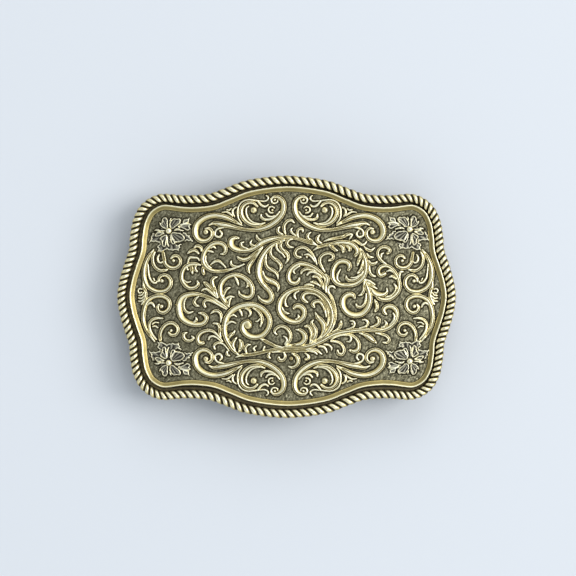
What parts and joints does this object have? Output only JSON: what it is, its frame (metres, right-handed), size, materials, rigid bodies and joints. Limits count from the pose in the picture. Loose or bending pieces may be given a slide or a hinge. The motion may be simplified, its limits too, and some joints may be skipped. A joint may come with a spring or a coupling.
{
  "type": "belt buckle",
  "caption": "Crowned Western belt buckle with a rope edge, rail, soldered scroll and flower overlays, and a hinged bail and a prong on its back.",
  "frame": {"origin": "under the middle of the buckle, at the level of the back hardware's lowest points", "axes": "+X along the buckle's long side toward the prong, +Y up the face as it is worn, +Z out of the front"},
  "size_m": [0.096, 0.0686, 0.0122],
  "materials": {
    "dark_brass": "stippled, blackened antique brass",
    "antique_brass": "antique brass, worn bright on the tops",
    "worn_brass": "antique brass, polished by wear",
    "hardware_brass": "tumbled antique brass"
  },
  "bodies": {
    "buckle": {"bail_bracket": "hardware_brass", "border_curl_ll": "antique_brass", "border_curl_lr": "antique_brass", "border_curl_ul": "antique_brass", "border_curl_ur": "antique_brass", "border_scroll_ll": "antique_brass", "border_scroll_lr": "antique_brass", "border_scroll_ul": "antique_brass", "border_scroll_ur": "antique_brass", "border_stem_ll": "antique_brass", "border_stem_lr": "antique_brass", "border_stem_ul": "antique_brass", "border_stem_ur": "antique_brass", "curl_left": "antique_brass", "curl_low_left": "antique_brass", "curl_low_right": "antique_brass", "face_plate": "dark_brass", "flower_bead_ll": "worn_brass", "flower_bead_lr": "worn_brass", "flower_bead_ul": "worn_brass", "flower_bead_ur": "worn_brass", "flower_leaves_ll": "antique_brass", "flower_leaves_lr": "antique_brass", "flower_leaves_ul": "antique_brass", "flower_leaves_ur": "antique_brass", "flower_petals_ll": "antique_brass", "flower_petals_lr": "antique_brass", "flower_petals_ul": "antique_brass", "flower_petals_ur": "antique_brass", "frond_centre": "antique_brass", "frond_left": "antique_brass", "frond_low": "antique_brass", "frond_right": "antique_brass", "hook_left": "antique_brass", "inner_rail": "antique_brass", "leaf_low": "antique_brass", "prong": "hardware_brass", "prong_base": "hardware_brass", "ring_left": "antique_brass", "ring_low": "antique_brass", "ring_right": "antique_brass", "rope_edge": "worn_brass", "scroll_left": "antique_brass", "scroll_right": "antique_brass", "side_curl_ll": "antique_brass", "side_curl_lr": "antique_brass", "side_curl_ul": "antique_brass", "side_curl_ur": "antique_brass", "side_scroll_ll": "antique_brass", "side_scroll_lr": "antique_brass", "side_scroll_ul": "antique_brass", "side_scroll_ur": "antique_brass", "spiral_centre": "antique_brass", "spiral_left": "antique_brass", "vine_bottom": "antique_brass", "vine_top": "antique_brass", "volute_left": "antique_brass", "volute_right": "antique_brass"},
    "bail": {"bail": "hardware_brass"}
  },
  "joints": [
    {"name": "bail_hinge", "type": "hinge", "parent": "buckle", "child": "bail", "pos_m": [-0.018, 0, 0.0022], "axis": [0, -1, 0], "range_deg": [-11, 190]}
  ]
}
